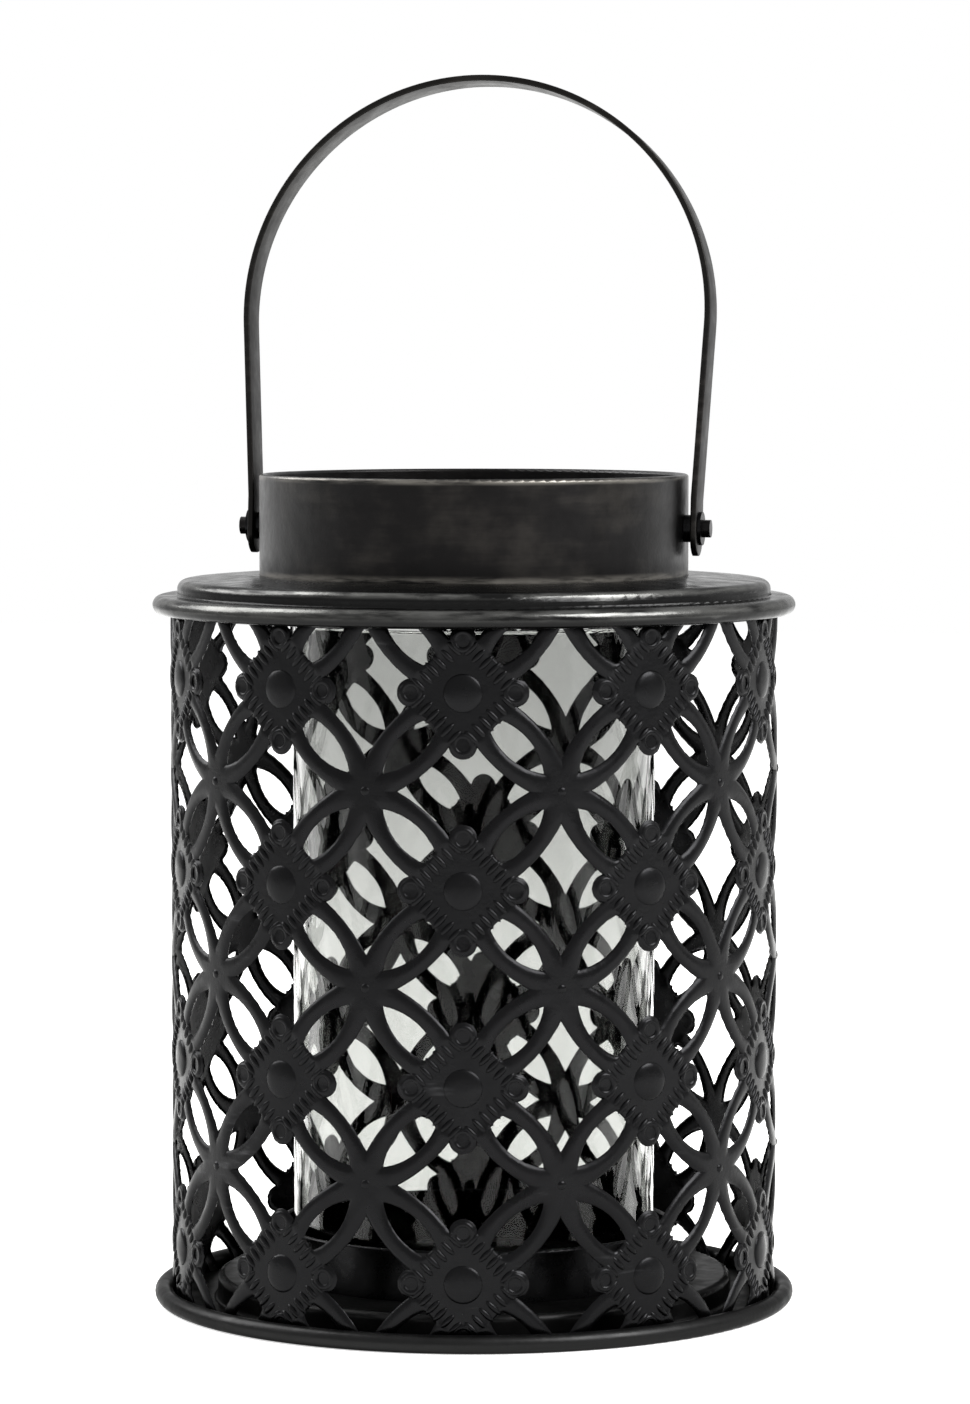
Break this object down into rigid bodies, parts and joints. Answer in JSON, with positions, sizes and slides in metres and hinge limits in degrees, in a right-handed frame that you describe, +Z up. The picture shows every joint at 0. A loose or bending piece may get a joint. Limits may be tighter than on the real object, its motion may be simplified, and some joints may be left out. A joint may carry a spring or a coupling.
{
  "type": "candle lantern",
  "caption": "Round candle lantern: pierced and embossed sheet-iron cylinder on a tray base, loose glass cylinder inside, stepped shoulder with open collar, swinging strap handle.",
  "frame": {"origin": "centre of the base, on the surface that the lantern stands on", "axes": "+Z up along the axis of the body; X is the line through the two handle pivots; the picture was taken from the -Y side, 12 degrees towards +X"},
  "size_m": [0.2128, 0.2128, 0.4066],
  "materials": {
    "black_iron": "satin, antiqued black over sheet iron",
    "worn_iron": "satin, antiqued black rubbed thin, slightly brown",
    "clear_glass": "clear, fire-polished rim"
  },
  "bodies": {
    "lantern": {"base_tray": "black_iron", "glass_holder": "black_iron", "pierced_mantle": "black_iron", "shoulder_plate": "black_iron", "collar": "worn_iron", "pivot_rivet_left": "worn_iron", "pivot_rivet_right": "worn_iron", "outer_washer_left": "black_iron", "outer_washer_right": "black_iron", "spacer_washer_left": "black_iron", "spacer_washer_right": "black_iron", "rivet_burr_left": "black_iron", "rivet_burr_right": "black_iron"},
    "handle": {"handle_strap": "worn_iron"},
    "glass": {"glass_cylinder": "clear_glass"}
  },
  "joints": [
    {"name": "handle_swing", "type": "hinge", "parent": "lantern", "child": "handle", "pos_m": [0, 0, 0.25716], "axis": [1, 0, 0], "range_deg": [-92, 105]},
    {"name": "glass_lift", "type": "slide", "parent": "lantern", "child": "glass", "axis": [0, 0, 1], "range_m": [0, 0.14]}
  ]
}
